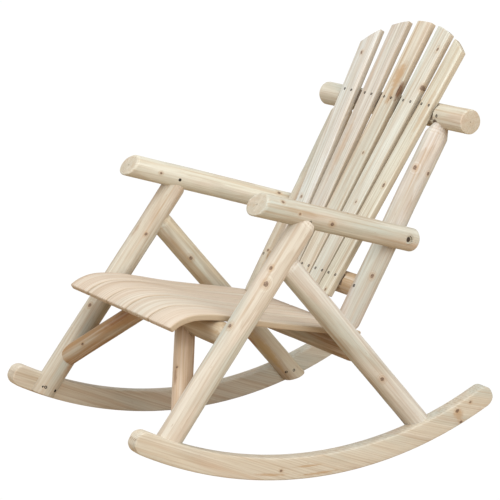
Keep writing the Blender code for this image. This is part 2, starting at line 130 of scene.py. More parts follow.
class Tree:
    """A shader or geometry node tree."""

    def __init__(self, tree):
        self.tree = tree

    def add(self, kind, settings=None, values=(), out=0):
        """A node of this kind, with settings made first, then its socket values or links."""
        node = self.tree.nodes.new(kind)
        for key, value in (settings or {}).items():
            if key == "stops":
                ramp = node.color_ramp.elements
                while len(ramp) < len(value):
                    ramp.new(0.5)
                for stop, (at, colour) in zip(ramp, value):
                    stop.position, stop.color = at, (*colour, 1.0)
            else:
                setattr(node, key, value)
        pairs = values.items() if isinstance(values, dict) else enumerate(values)
        for key, value in pairs:
            if isinstance(value, Wire):
                self.tree.links.new(value.socket, node.inputs[key])
            elif value is not None:
                node.inputs[key].default_value = value
        return Wire(self, node.outputs[out])

    def vector(self, operation, *values):
        out = 1 if operation in ("DOT_PRODUCT", "LENGTH") else 0
        slots = {i: v for i, v in enumerate(values)}
        if operation == "SCALE":
            slots = {0: values[0], 3: values[1]}
        return self.add("ShaderNodeVectorMath", {"operation": operation}, slots, out)

    def step(self, value, low, high, start=0.0, end=1.0):
        """A smooth change from start to end as value goes from low to high."""
        return self.add("ShaderNodeMapRange", {"interpolation_type": "SMOOTHSTEP"},
                        (value, low, high, start, end))

    def noise(self, at, scale=1.0, detail=2.0, rough=0.5, distortion=0.0, out=0):
        return self.add("ShaderNodeTexNoise", {}, {"Vector": at, "Scale": scale,
                        "Detail": detail, "Roughness": rough, "Distortion": distortion}, out)

    def stretch(self, at, scale, move=(0.0, 0.0, 0.0)):
        return self.add("ShaderNodeMapping", {}, {"Vector": at, "Location": move, "Scale": scale})

    def blend(self, factor, a, b):
        """A colour mixed towards another, (red, green, blue) or a wire."""
        a, b = (c if isinstance(c, Wire) else (*c, 1) for c in (a, b))
        return self.add("ShaderNodeMix", {"data_type": "RGBA"}, {0: factor, 6: a, 7: b}, 2)

    def spot(self, at, place, size):
        """Coordinates in which a spot at this place is a ball of radius 1."""
        return self.add("ShaderNodeMapping", {"vector_type": "TEXTURE"},
                        {"Vector": at, "Location": place, "Scale": size})

    def xyz(self, **parts):
        """A vector from these axes; the others are 0."""
        return self.add("ShaderNodeCombineXYZ", {}, {k.upper(): v for k, v in parts.items()})

    def split(self, vector):
        return self.add("ShaderNodeSeparateXYZ", {}, (vector,))

    def waver(self, noise, reach):
        """A noise colour as an offset either way about 0."""
        return self.vector("SCALE", self.vector("SUBTRACT", noise, (0.5, 0.5, 0.5)), reach)


# --- geometry trees -----------------------------------------------------------


KINDS = {float: "Float", int: "Int", tuple: "Vector", type(None): "Material"}


def shape_tree(name, inputs):
    """An empty geometry tree with these named inputs, its Tree and its input wires."""
    group = bpy.data.node_groups.new(name, "GeometryNodeTree")
    group.interface.new_socket("Geometry", in_out="INPUT", socket_type="NodeSocketGeometry")
    group.interface.new_socket("Geometry", in_out="OUTPUT", socket_type="NodeSocketGeometry")
    for label, value in inputs.items():
        kind = "NodeSocket" + KINDS[type(value)]
        item = group.interface.new_socket(label, in_out="INPUT", socket_type=kind)
        if value is not None:
            item.default_value = value
    tree = Tree(group)
    start = tree.add("NodeGroupInput")
    return group, tree, start.out


def end_tree(tree, geometry, material):
    """Close a tree with real geometry in this material."""
    solid = tree.add("GeometryNodeRealizeInstances", {}, {"Geometry": geometry})
    solid = tree.add("GeometryNodeSetMaterial", {}, {"Geometry": solid, "Material": material})
    tree.tree.links.new(solid.socket, tree.tree.nodes.new("NodeGroupOutput").inputs[0])


def end_swept(tree, geometry, place, material):
    """Close a tree whose points move to place, shaded smooth."""
    moved = tree.add("GeometryNodeSetPosition", {}, {"Geometry": geometry, "Position": place})
    moved = tree.add("GeometryNodeSetShadeSmooth", {}, {"Geometry": moved, "Shade Smooth": True})
    end_tree(tree, moved, material)


def keep(tree, geometry, name, kind, value):
    return tree.add("GeometryNodeStoreNamedAttribute", {"data_type": kind, "domain": "POINT"},
                    {"Geometry": geometry, "Name": name, "Value": value})


def kept(tree, name, kind):
    return tree.add("GeometryNodeInputNamedAttribute", {"data_type": kind}, {"Name": name})


def quarter(distance, long):
    """Rises from 0 to 1 like a quarter circle as distance goes from 0 to long."""
    t = (1 - (distance / long).math("MINIMUM", 1.0)).math("MAXIMUM", 0.0)
    return (1 - t * t).math("SQRT")


def peeled_log_tree():
    """A log along +Z from its path: necked or rounded ends, slanted cuts, hand-peeled flats."""
    group, tree, given = shape_tree("peeled_log", {
        "Radius": 0.027, "Length": 0.5, "Sides": 72, "Low Radius": 0.024, "Low Neck": 0.003,
        "High Radius": 0.024, "High Neck": 0.003, "Cone": 0.0, "Low Cut": (0, 0, 1),
        "High Cut": (0, 0, 1), "Cut Reach": 0.10, "Wander": 0.0015, "Swell": 0.0009,
        "Flats": 0.0006, "Seed": 0.0, "Material": None})
    spline = tree.add("GeometryNodeSplineParameter")
    path = keep(tree, given("Geometry"), "station", "FLOAT", spline.out("Length"))
    ring = tree.add("GeometryNodeCurvePrimitiveCircle", {},
                    {"Resolution": given("Sides"), "Radius": 1.0})
    spot = tree.add("GeometryNodeInputPosition")
    ring = keep(tree, ring, "spoke", "FLOAT_VECTOR", spot)
    tube = tree.add("GeometryNodeCurveToMesh", {}, {"Curve": path, "Profile Curve": ring})
    s = kept(tree, "station", "FLOAT")
    spoke = kept(tree, "spoke", "FLOAT_VECTOR")
    radius, long = given("Radius"), given("Length")
    rest = long - s
    low = given("Low Radius") + (radius - given("Low Radius")) * quarter(s, given("Low Neck"))
    cone = (rest / given("High Neck")).math("MINIMUM", 1.0)
    neck = quarter(rest, given("High Neck"))
    neck = neck + (cone - neck) * given("Cone")
    high = given("High Radius") + (radius - given("High Radius")) * neck
    seed = tree.xyz(z=given("Seed"))
    along = tree.xyz(z=s)
    unit = tree.vector("ADD", tree.vector("ADD", tree.vector("SCALE", spoke, radius), along), seed)
    swell = tree.noise(tree.vector("MULTIPLY", unit, (34, 34, 9)), 1.0, 2.0, 0.5) - 0.5
    flats = tree.add("ShaderNodeTexVoronoi", {"feature": "SMOOTH_F1"},
                     {"Vector": tree.vector("MULTIPLY", unit, (75, 75, 7)), "Scale": 1.0,
                      "Smoothness": 0.25})
    flats = flats - 0.45
    full = (low / radius) * (high / radius)
    r = radius * full + (swell * given("Swell") * 2 + flats * given("Flats")) * full
    sway = tree.noise(tree.vector("ADD", tree.vector("SCALE", along, 3.2), seed), 1.0, 0.0,
                      out="Color")
    sway = tree.waver(sway, (s / long * math.pi).math("SINE") * given("Wander") * 2)
    sway = tree.vector("MULTIPLY", sway, (1, 1, 0))
    side = tree.vector("SCALE", spoke, r)

    def slant(cut, distance):
        """How far the end moves along the log for its sawn face to tilt."""
        tilt = tree.vector("DOT_PRODUCT", side, cut) / tree.split(cut).out("Z") * -1
        return tilt * tree.step(distance, 0.0, given("Cut Reach"), 1.0, 0.0)

    z = s + slant(given("Low Cut"), s) + slant(given("High Cut"), rest)
    place = tree.vector("ADD", side, tree.xyz(z=z))
    tube = keep(tree, tube, "grain", "FLOAT_VECTOR", place)
    end_swept(tree, tube, tree.vector("ADD", place, sway), given("Material"))
    return group


def sawn_board_tree():
    """A board swept along its path, with its width along X: eased edges and shaped ends."""
    group, tree, given = shape_tree("sawn_board", {
        "Length": 0.5, "Low Width": 0.06, "High Width": 0.06, "Thickness": 0.015,
        "Ease": 0.0025, "Nose": 0.0, "Arch": 0.0, "Arch Radius": 1.0, "Arch Centre": 0.0,
        "Wobble": 0.0004, "Seed": 0.0, "Material": None})
    spline = tree.add("GeometryNodeSplineParameter")
    path = keep(tree, given("Geometry"), "station", "FLOAT", spline.out("Length"))
    spot = tree.add("GeometryNodeInputPosition")
    path = keep(tree, path, "centre", "FLOAT_VECTOR", spot)
    path = keep(tree, path, "ahead", "FLOAT_VECTOR", tree.add("GeometryNodeInputTangent"))
    wide = given("Low Width").math("MAXIMUM", given("High Width"))
    box = tree.add("GeometryNodeCurvePrimitiveQuadrilateral", {},
                   {"Width": wide, "Height": given("Thickness")})
    box = tree.add("GeometryNodeFilletCurve", {"mode": "POLY"},
                   {"Curve": box, "Radius": given("Ease"), "Count": 4})
    box = tree.add("GeometryNodeSubdivideCurve", {}, {"Curve": box, "Cuts": 2})
    box = keep(tree, box, "section", "FLOAT_VECTOR", spot)
    bar = tree.add("GeometryNodeCurveToMesh", {}, {"Curve": path, "Profile Curve": box})
    s = kept(tree, "station", "FLOAT")
    centre = kept(tree, "centre", "FLOAT_VECTOR")
    ahead = kept(tree, "ahead", "FLOAT_VECTOR")
    part = tree.split(kept(tree, "section", "FLOAT_VECTOR"))
    u, v = part.out("X"), part.out("Y")
    long, thick, ease = given("Length"), given("Thickness"), given("Ease")
    rest = long - s
    nearest = s.math("MINIMUM", rest)
    width = given("Low Width") + (given("High Width") - given("Low Width")) * (s / long)
    pulled = ease * (1 - quarter(nearest, ease))
    nose = given("Nose").math("MAXIMUM", 0.0001)
    blunt = nose * (1 - quarter(nearest, nose)) * (given("Nose") * 1000).math("MINIMUM", 1.0)
    seed = tree.xyz(x=given("Seed"), z=given("Seed"))
    shaken = tree.vector("ADD", tree.vector("SCALE", centre, 14.0), seed)
    shake = tree.noise(shaken, 1.0, 2.0, out="Color")
    shake = tree.split(tree.vector("SUBTRACT", shake, (0.5, 0.5, 0.5)))
    u = u / wide * (width - pulled * 2 + shake.out("X") * given("Wobble") * 4)
    v = v / thick * (thick - pulled * 2 - blunt * 2 + shake.out("Y") * given("Wobble") * 2)
    middle = tree.split(centre)
    x = middle.out("X") + u
    arc = given("Arch Centre") + (given("Arch Radius") * given("Arch Radius") - x * x).math("SQRT")
    rise = (arc - middle.out("Y") - rest) * given("Arch") * tree.step(rest, 0.0, 0.06, 1.0, 0.0)
    out = tree.vector("NORMALIZE", tree.vector("CROSS_PRODUCT", ahead, (1, 0, 0)))
    place = tree.vector("ADD", centre, tree.vector("SCALE", out, v))
    place = tree.vector("ADD", place, tree.xyz(x=u))
    place = tree.vector("ADD", place, tree.vector("SCALE", ahead, rise))
    bar = keep(tree, bar, "grain", "FLOAT_VECTOR", tree.xyz(x=u, y=v, z=s + rise))
    # flank marks the board's sides and eased edges, which the wood shader darkens as painted shade.
    flank = wide / 2 - part.out("X").math("ABSOLUTE")
    bar = keep(tree, bar, "flank", "FLOAT", tree.step(flank, 0.0, ease * 0.8, 1.0, 0.0))
    end_swept(tree, bar, place, given("Material"))
    return group


LOG_TREE, BOARD_TREE = peeled_log_tree(), sawn_board_tree()


def add_object(name, data):
    """A new object in the scene, at the origin."""
    piece = bpy.data.objects.new(name, data)
    bpy.context.scene.collection.objects.link(piece)
    return piece


def baked_mesh(piece):
    """The plain mesh that an object's modifiers make."""
    bpy.context.view_layer.update()
    graph = bpy.context.evaluated_depsgraph_get()
    return bpy.data.meshes.new_from_object(piece.evaluated_get(graph), depsgraph=graph)


def run_tree(piece, group, sizes, material):
    """The plain mesh that a geometry tree makes from an object, with these named inputs."""
    step = piece.modifiers.new("tree", "NODES")
    step.node_group = group
    given = {**sizes, "Material": material}
    for item in group.interface.items_tree:
        if item.in_out == "INPUT" and item.name in given:
            step[item.identifier] = given[item.name]
    return baked_mesh(piece)


def stations(long, step, fine=0.0004):
    """Distances along a piece, close together near both ends."""
    near, gap = [0.0], fine
    while gap < step and near[-1] + gap < long / 3:
        near.append(near[-1] + gap)
        gap *= 1.35
    count = max(2, round((long - 2 * near[-1]) / step))
    middle = [near[-1] + (long - 2 * near[-1]) * i / count for i in range(1, count)]
    return near + middle + [long - d for d in reversed(near)]


def grow(name, points, group, sizes, material, place):
    """Run a geometry tree on a path, bake it to a closed mesh, and put it in place."""
    line = bpy.data.curves.new(name, "CURVE")
    line.dimensions = "3D"
    spline = line.splines.new("POLY")
    spline.points.add(len(points) - 1)
    for spot, co in zip(spline.points, points):
        spot.co = (*co, 1)
    guide = add_object(name + "_path", line)
    mesh = run_tree(guide, group, sizes, material)
    bpy.data.objects.remove(guide, do_unlink=True)
    bpy.data.curves.remove(line)
    mesh.name = name
    shape = bmesh.new()
    shape.from_mesh(mesh)
    sawn = shape.faces.layers.float.new("sawn")
    caps = bmesh.ops.holes_fill(shape, edges=[e for e in shape.edges if e.is_boundary], sides=0)
    for face in caps["faces"]:
        face[sawn] = 1.0
    bmesh.ops.recalc_face_normals(shape, faces=shape.faces)
    for face in shape.faces:
        face.smooth = True
    shape.to_mesh(mesh)
    shape.free()
    mesh.transform(REST @ place)
    for spare in ("station", "spoke", "section", "centre", "ahead"):
        if spare in mesh.attributes:
            mesh.attributes.remove(mesh.attributes[spare])
    mesh.set_sharp_from_angle(angle=math.radians(38))
    return add_object(name, mesh)


# --- wood and steel -----------------------------------------------------------

CREAM, HONEY = (0.66, 0.595, 0.465), (0.34, 0.21, 0.10)
PINK, GREY_GREEN = (0.63, 0.505, 0.400), (0.53, 0.565, 0.50)
BARK, KNOT, AMBER = (0.07, 0.032, 0.014), (0.25, 0.165, 0.115), (0.45, 0.26, 0.11)
# The brown painted as shade on the sides and seams of boards, and rust.
EDGE_SHADE, RUST = (0.44, 0.345, 0.230), (0.15, 0.080, 0.045)
PALE, END_GRAIN, SOOT = (0.80, 0.775, 0.68), (0.50, 0.47, 0.40), (0.03, 0.02, 0.013)
SEED_APART = 0.37  # how far along the noise each next piece of wood starts
RIM = 0.0026  # how much the edge of a sawn log end is eased
PITH = (0.0016, 0.003, 0.75, BARK)  # the dark spot in the middle of a log's end, as a stain


def new_material(name):
    """A material with its node tree and its main shader node."""
    material = bpy.data.materials.new(name)
    material.use_nodes = True
    return material, Tree(material.node_tree), material.node_tree.nodes["Principled BSDF"]


def wire_up(shader, **wires):
    """Link wires to the shader's sockets; Base_Color stands for Base Color."""
    for label, wire in wires.items():
        wire.tree.tree.links.new(wire.socket, shader.inputs[label.replace("_", " ")])


def wood(name, pith=(0.0, 0.0), seed=0.0, spacing=0.0026, tone=CREAM, late=HONEY,
         rings=0.30, streak=0.5, patch=0.5, deep=None, edge=0.0, tilt=0.0,
         knots=(), cracks=(), stains_and_shade=()):
    """Solid softwood: growth rings about the pith, fibres along the grain, knots and splits."""
    material, tree, shader = new_material(name + "_wood")
    seed *= SEED_APART
    grain = tree.add("ShaderNodeAttribute", {"attribute_name": "grain"}, out="Vector")
    straight = grain
    if tilt:
        # A plank's fibres run straight through its bend instead of following it.
        at = tree.split(grain)
        level = at.out("Y") - at.out("Z") * at.out("Z") / (2 * ROCKER_R) + at.out("Z") * tilt
        straight = tree.xyz(x=at.out("X"), y=level, z=at.out("Z"))
    own = tree.vector("ADD", straight, (seed * 1.7, seed * 2.3, seed * 3.1))

    swirl, core, halo = None, None, None
    for x, y, z, size in knots:
        near = tree.spot(grain, (x, y, z), (size, deep or size, size * 1.25))
        ragged = tree.noise(own, 260.0, 1.0) - 0.5
        far = tree.vector("LENGTH", near) + ragged * 0.55
        a = tree.step(far, 0.72, 1.05, 1.0, 0.0)
        b = tree.step(far, 0.8, 3.4, 1.0, 0.0)
        c = b * b * (size * 1.1)
        swirl = c if swirl is None else swirl + c
        core = a if core is None else core.math("MAXIMUM", a)
        halo = b if halo is None else halo.math("MAXIMUM", b)

    drift = tree.waver(tree.noise(tree.stretch(own, (9, 9, 1.6)), 1.0, 2.0, 0.55, out="Color"), 0.012)
    bent = tree.vector("SUBTRACT", tree.vector("ADD", straight, drift), (*pith, 0))
    r = tree.vector("LENGTH", tree.vector("MULTIPLY", bent, (1, 1, 0.014)))
    if swirl is not None:
        r = r + swirl
    year = tree.noise(tree.stretch(own, (22, 22, 3)), 1.0, 1.0)
    turn = (r / spacing + year * 1.8).math("FRACT")
    ring = tree.step(turn, 0.30, 0.90) * tree.step(turn, 0.91, 1.0, 1.0, 0.0)
    uneven = tree.step(tree.noise(tree.stretch(own, (70, 70, 5)), 1.0, 2.0), 0.30, 0.66, 0.25, 1.0)
    fibre = tree.noise(tree.stretch(own, (1500, 1500, 26)), 1.0, 2.0, 0.6)
    thread = tree.noise(tree.stretch(own, (260, 260, 5.0)), 1.0, 3.0, 0.6)
    band = tree.noise(tree.stretch(bent, (85, 85, 2.2), (seed, seed, seed)), 1.0, 2.0, 0.55)
    cloud = tree.noise(tree.stretch(own, (20, 20, 3.6)), 1.0, 2.0, 0.55)
    tinge = tree.noise(tree.stretch(own, (12, 12, 2.4), (4.1, 1.7, 8.3)), 1.0, 2.0, 0.6)
    speck = tree.noise(tree.stretch(own, (520, 520, 60)), 1.0, 1.0, 0.5)

    colour = tree.blend(tree.step(cloud, 0.50, 0.70) * (0.70 * patch), tone, PINK)
    colour = tree.blend(tree.step(tinge, 0.50, 0.68) * (0.85 * patch), colour, GREY_GREEN)
    colour = tree.blend(tree.step(band, 0.50, 0.30) * (0.60 * streak), colour, PALE)
    colour = tree.blend(tree.step(band, 0.52, 0.72) * (0.50 * streak), colour, AMBER)
    sawn = tree.add("ShaderNodeAttribute", {"attribute_name": "sawn"}, out="Fac")
    side = 1 - sawn
    shown = uneven * side * rings + sawn * 0.85
    colour = tree.blend(sawn * 0.22, colour, END_GRAIN)
    colour = tree.blend(ring * shown, colour, late)
    colour = tree.blend(tree.step(thread, 0.45, 0.74) * side * (0.55 * streak), colour, late)
    colour = tree.blend(tree.step(thread, 0.48, 0.26) * (0.35 * streak), colour, PALE)
    colour = tree.blend(tree.step(fibre, 0.35, 0.70) * 0.13, colour, late)
    colour = tree.blend(tree.step(speck, 0.72, 0.80) * 0.45, colour, late)
    # Painted shade: the sides and eased edges of boards, where the seams between them fall, are
    # darkened towards a brown.
    if edge:
        flank = tree.add("ShaderNodeAttribute", {"attribute_name": "flank"}, out="Fac")
        colour = tree.blend(flank * edge, colour, EDGE_SHADE)
    rough = 0.60 + fibre * 0.18 - ring * 0.10
    height = fibre * 0.35 + thread * 0.45 - ring * rings * 0.7

    # Stains, and on some logs painted shade along their undersides, laid on as soft patches of colour.
    for x, y, z, wide, tall, strength, tint in stains_and_shade:
        near = tree.spot(grain, (x, y, z), (wide, deep or wide, tall))
        far = tree.vector("LENGTH", near) + (tree.noise(own, 95.0, 2.0) - 0.5) * 0.9
        colour = tree.blend(tree.step(far, 0.35, 1.15, 1.0, 0.0) * strength, colour, tint)
    if halo is not None:
        colour = tree.blend(halo * halo * 0.38, colour, AMBER)
        age = tree.noise(own, 420.0, 1.0)
        inside = tree.blend(tree.step(age, 0.35, 0.65), BARK, KNOT)
        colour = tree.blend(core * 0.80, colour, inside)
        rough = rough + core * 0.08
        height = height + core * 0.9
    for x, y, z, wide, tall in cracks:
        wave = tree.waver(tree.noise(tree.stretch(own, (30, 30, 45)), 1.0, 2.0, out="Color"), 0.006)
        near = tree.spot(tree.vector("ADD", grain, wave), (x, y, z), (wide, 0.02, tall))
        gap = tree.step(tree.vector("LENGTH", near), 0.55, 1.0, 1.0, 0.0)
        colour = tree.blend(gap * 0.9, colour, BARK)
        height = height - gap * 2.0

    bump = tree.add("ShaderNodeBump", {}, {"Strength": 0.45, "Distance": 0.0006, "Height": height})
    wire_up(shader, Base_Color=colour, Roughness=rough, Normal=bump)
    shader.inputs["Specular IOR Level"].default_value = 0.30
    return material


def steel(name, tone, metal):
    """Blackened steel with patches of grime."""
    material, tree, shader = new_material(name)
    at = tree.add("ShaderNodeTexCoord", out="Object")
    grime = tree.noise(at, 700.0, 3.0, 0.6)
    wear = tree.noise(at, 2600.0, 2.0, 0.6)
    colour = tree.blend(tree.step(grime, 0.35, 0.62), tone, SOOT)
    bump = tree.add("ShaderNodeBump", {}, {"Strength": 0.3, "Distance": 0.0002, "Height": wear})
    wire_up(shader, Base_Color=colour, Roughness=0.46 + grime * 0.3, Normal=bump,
            Metallic=metal - tree.step(grime, 0.4, 0.65) * metal * 0.6)
    return material


# --- placing helpers ----------------------------------------------------------


def point(x, yz):
    return Vector((x, yz[0], yz[1]))


def along(at, lean, distance):
    return (at[0] + math.cos(lean) * distance, at[1] + math.sin(lean) * distance)


def axes(start, end):
    """A placing matrix at start whose own Z runs towards end."""
    z = (end - start).normalized()
    x = Vector((1, 0, 0)) if abs(z.x) < 0.9 else Vector((0, 1, 0))
    y = z.cross(x).normalized()
    x = y.cross(z)
    return Matrix.Translation(start) @ Matrix((x, y, z)).transposed().to_4x4()


def reach_arc(at, lean, radius):
    """How far down a leaning line from at it meets the arc of this radius."""
    y, z = at[0], at[1] - ROCKER_R
    c, s = math.cos(lean), math.sin(lean)
    b = y * c + z * s
    return -b - math.sqrt(b * b - (y * y + z * z - radius * radius))


def crossing(at_a, lean_a, at_b, lean_b):
    """Distance along line a to the point where line b crosses it in side view."""
    ca, sa, cb, sb = (math.cos(lean_a), math.sin(lean_a), math.cos(lean_b), math.sin(lean_b))
    dy, dz = at_b[0] - at_a[0], at_b[1] - at_a[1]
    return (dy * sb - dz * cb) / (ca * sb - sa * cb)


def arc_normal(yz):
    """Direction out of the rocker's underside at this side view point."""
    return Vector((0, yz[0], yz[1] - ROCKER_R)).normalized()


def finish(piece, slot, *nodes):
    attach(piece, "root")
    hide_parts(*nodes)
    return piece


seeds = iter(range(1, 200))


def log(name, start, end, radius, low=None, high=None, low_cut=None, high_cut=None, cone=0.0,
        stains_and_shade=(), **looks):
    """A peeled log from start to end. low and high are (radius, length) of its necks."""
    long = (end - start).length
    place = axes(start, end)
    rim = (radius - RIM, RIM)
    low, high = low or rim, high or rim
    turn = place.to_3x3().transposed()
    seed = next(seeds)
    spots = [(math.cos(math.radians(a)) * radius, math.sin(math.radians(a)) * radius, s, size)
             for s, a, size in KNOTS.get(name, ())]
    pith = [(0, 0, s, *PITH) for s in (0.0, long)]
    looks = {"tone": LOG_TONES_AND_SHADE.get(name, CREAM), "streak": 0.66, "patch": 0.85, **looks}
    material = wood(name, seed=seed, knots=spots,
                    stains_and_shade=[*pith, *LOG_STAINS_AND_SHADE.get(name, ()), *stains_and_shade], **looks)
    sizes = {"Radius": radius, "Length": long, "Low Radius": low[0], "Low Neck": low[1],
             "High Radius": high[0], "High Neck": high[1], "Cone": cone, "Seed": float(seed)}
    for label, cut in (("Low Cut", low_cut), ("High Cut", high_cut)):
        if cut is not None:
            local = turn @ cut
            sizes[label] = local if local.z > 0 else -local
    points = [(0, 0, s) for s in stations(long, 0.004)]
    piece = grow(name, points, LOG_TREE, sizes, material, place)
    swell_knots(piece, spots)
    LOGS[name] = (place, radius)
    return finish(piece, "log_wood", name)


def swell_knots(piece, spots):
    """Raise the wood a little round each knot."""
    mesh = piece.data
    count = len(mesh.vertices)
    co, normal, grain = (np.zeros(count * 3, np.float32) for _ in range(3))
    mesh.vertices.foreach_get("co", co)
    mesh.vertices.foreach_get("normal", normal)
    mesh.attributes["grain"].data.foreach_get("vector", grain)
    co, normal, grain = (a.reshape(-1, 3) for a in (co, normal, grain))
    for x, y, z, size in spots:
        far = np.linalg.norm((grain - (x, y, z)) / (1, 1, 1.6), axis=1) / (size * 2.0)
        co += normal * (np.exp(-far ** 2) * size * 0.20)[:, None]
    mesh.vertices.foreach_set("co", co.ravel())
    mesh.update()


def cut_away(piece, cutters):
    """Cut these closed meshes out of a finished piece."""
    for cutter in cutters:
        step = piece.modifiers.new("cut", "BOOLEAN")
        step.operation, step.object, step.solver = "DIFFERENCE", cutter, "EXACT"
    mesh = baked_mesh(piece)
    piece.modifiers.clear()
    old, piece.data = piece.data, mesh
    bpy.data.meshes.remove(old)
    for cutter in cutters:
        bpy.data.objects.remove(cutter, do_unlink=True)
    return piece


def hidden_cutter(shape):
    """An object to cut with, from a bmesh in row coordinates."""
    mesh = bpy.data.meshes.new("cutter")
    shape.to_mesh(mesh)
    shape.free()
    return add_object("cutter", mesh)


def block(lows, highs, place):
    """A hidden box cutter."""
    shape = bmesh.new()
    bmesh.ops.create_cube(shape, size=1.0)
    middle = (Vector(lows) + Vector(highs)) / 2
    size = Vector(highs) - Vector(lows)
    shape.transform(REST @ place @ Matrix.Translation(middle) @ Matrix.Diagonal((*size, 1)))
    return hidden_cutter(shape)


def drill(at, into, rings, sides=28):
    """A hidden round cutter from (depth, radius) pairs along into."""
    place = REST @ axes(at, at + into)
    shape = bmesh.new()
    angles = [2 * math.pi * i / sides for i in range(sides)]
    loops = [[shape.verts.new(place @ Vector((math.cos(a) * radius, math.sin(a) * radius, depth)))
              for a in angles] for depth, radius in rings]
    for a, b in zip(loops, loops[1:]):
        for i in range(sides):
            shape.faces.new((a[i], a[(i + 1) % sides], b[(i + 1) % sides], b[i]))
    shape.faces.new(loops[0][::-1])
    shape.faces.new(loops[-1])
    bmesh.ops.recalc_face_normals(shape, faces=shape.faces)
    return hidden_cutter(shape)


# --- logs: side frames --------------------------------------------------------

arm_at, arm_dir = (0.0, ARM_Z), -ARM_SLOPE
leg_top = crossing(LEG_FOOT, LEG_LEAN, arm_at, arm_dir)
leg_low = reach_arc(LEG_FOOT, LEG_LEAN, ROCKER_R - FOOT_IN)
brace_low = reach_arc(BRACE_AT, BRACE_LEAN, ROCKER_R - FOOT_IN)
brace_top = crossing(BRACE_AT, BRACE_LEAN, LEG_FOOT, LEG_LEAN)
arm_rear_x = POST_X + POST_R + ARM_R - ARM_NOTCH
post_meets_arm = along(arm_at, arm_dir, crossing(arm_at, arm_dir, BACK_LOW, BACK_LEAN))
splay = (arm_rear_x - ARM_FRONT_X) / (post_meets_arm[0] - ARM_FRONT)


def arm_point(side, y):
    x = ARM_FRONT_X + splay * (y - ARM_FRONT)
    return point(side * x, (y, ARM_Z - math.tan(ARM_SLOPE) * y))


# Knots on each log: distance along it, angle about it in degrees, and size.
KNOTS = {
    "back_post_left": ((0.399, -62, 0.0050), (0.400, 12, 0.0040), (0.130, -25, 0.0042),
                       (0.260, 150, 0.0050)),
    "back_post_right": ((0.315, -140, 0.0046), (0.180, 60, 0.0040), (0.106, -72, 0.0030)),
    "arm_left": ((0.197, 9, 0.0046), (0.052, -42, 0.0036), (0.101, -3, 0.0026),
                 (0.250, -76, 0.0028), (0.330, 150, 0.0046)),
    "arm_right": ((0.403, -49, 0.0042), (0.076, 1, 0.0030), (0.240, 170, 0.0050)),
    "front_leg_left": ((0.477, -53, 0.0040), (0.441, -34, 0.0058), (0.323, -73, 0.0044),
                       (0.210, 120, 0.0050)),
    "front_leg_right": ((0.456, -18, 0.0036), (0.239, -64, 0.0042), (0.350, 160, 0.0052)),
    "rear_brace_left": ((0.216, -16, 0.0048), (0.330, 140, 0.0050)),
    "rear_brace_right": ((0.471, -18, 0.0046), (0.260, 170, 0.0048)),
    "top_crossbar": ((0.330, -30, 0.0040), (0.470, 60, 0.0048)),
    "front_brace_right": ((0.075, -50, 0.0034),),
    "front_brace_left": ((0.120, -80, 0.0032),),
}
# Tone of each log. The dark browns of the seat rails and front braces under the seat, and of the lower
# crossbar at the foot of the back, are painted shade.
LOG_TONES_AND_SHADE = {
    "front_leg_left": (0.66, 0.605, 0.510), "front_leg_right": (0.60, 0.555, 0.455),
    "rear_brace_left": (0.67, 0.640, 0.570), "rear_brace_right": (0.64, 0.570, 0.430),
    "arm_left": (0.52, 0.500, 0.415), "arm_right": (0.66, 0.630, 0.520),
    "back_post_left": (0.60, 0.560, 0.510), "back_post_right": (0.64, 0.590, 0.480),
    "top_crossbar": (0.62, 0.590, 0.480), "lower_crossbar": (0.46, 0.330, 0.205),
    "seat_rail_front": (0.50, 0.400, 0.270), "seat_rail_rear": (0.36, 0.240, 0.140),
    "front_brace_left": (0.60, 0.460, 0.330), "front_brace_right": (0.40, 0.250, 0.130),
}
# Stains and painted shade: side position in the log's own section, distance along it, then sizes and
# strength.
LOG_STAINS_AND_SHADE = {
    "top_crossbar": ((-0.0270, 0.0100, 0.100, 0.0075, 0.010, 0.90, BARK),
                     (-0.0200, 0.0200, 0.118, 0.0070, 0.014, 0.45, AMBER)),
    # Painted shade: warm browns along the underside of the far rear brace.
    "rear_brace_right": ((0.0200, -0.0180, 0.130, 0.0160, 0.090, 0.60, (0.52, 0.36, 0.14)),
                         (0.0060, -0.0260, 0.170, 0.0080, 0.030, 0.60, (0.40, 0.17, 0.05))),
    # Painted shade: the first, a warm brown along the underside of the far front leg; the second is a
    # stain.
    "front_leg_right": ((0.0240, 0.0140, 0.140, 0.0110, 0.090, 0.55, (0.42, 0.22, 0.09)),
                        (0.0060, -0.0270, 0.455, 0.0060, 0.025, 0.45, (0.34, 0.18, 0.08))),
    "front_brace_left": ((0.0000, -0.0230, 0.100, 0.0050, 0.030, 0.60, (0.22, 0.11, 0.05)),),
    # Painted shade: a dark brown along the rear underside of the front seat rail.
    "seat_rail_front": ((0.0200, 0.0200, 0.300, 0.0200, 0.200, 0.40, (0.36, 0.20, 0.09)),),
    "front_leg_left": ((0.0150, -0.0240, 0.455, 0.0090, 0.030, 0.30, PINK),),
    "front_brace_right": ((0.0100, -0.0200, 0.200, 0.0100, 0.050, 0.50, (0.24, 0.09, 0.03)),),
    "arm_left": ((0.0250, 0.0060, 0.260, 0.0060, 0.100, 0.35, (0.40, 0.36, 0.26)),),
}
LOGS = {}

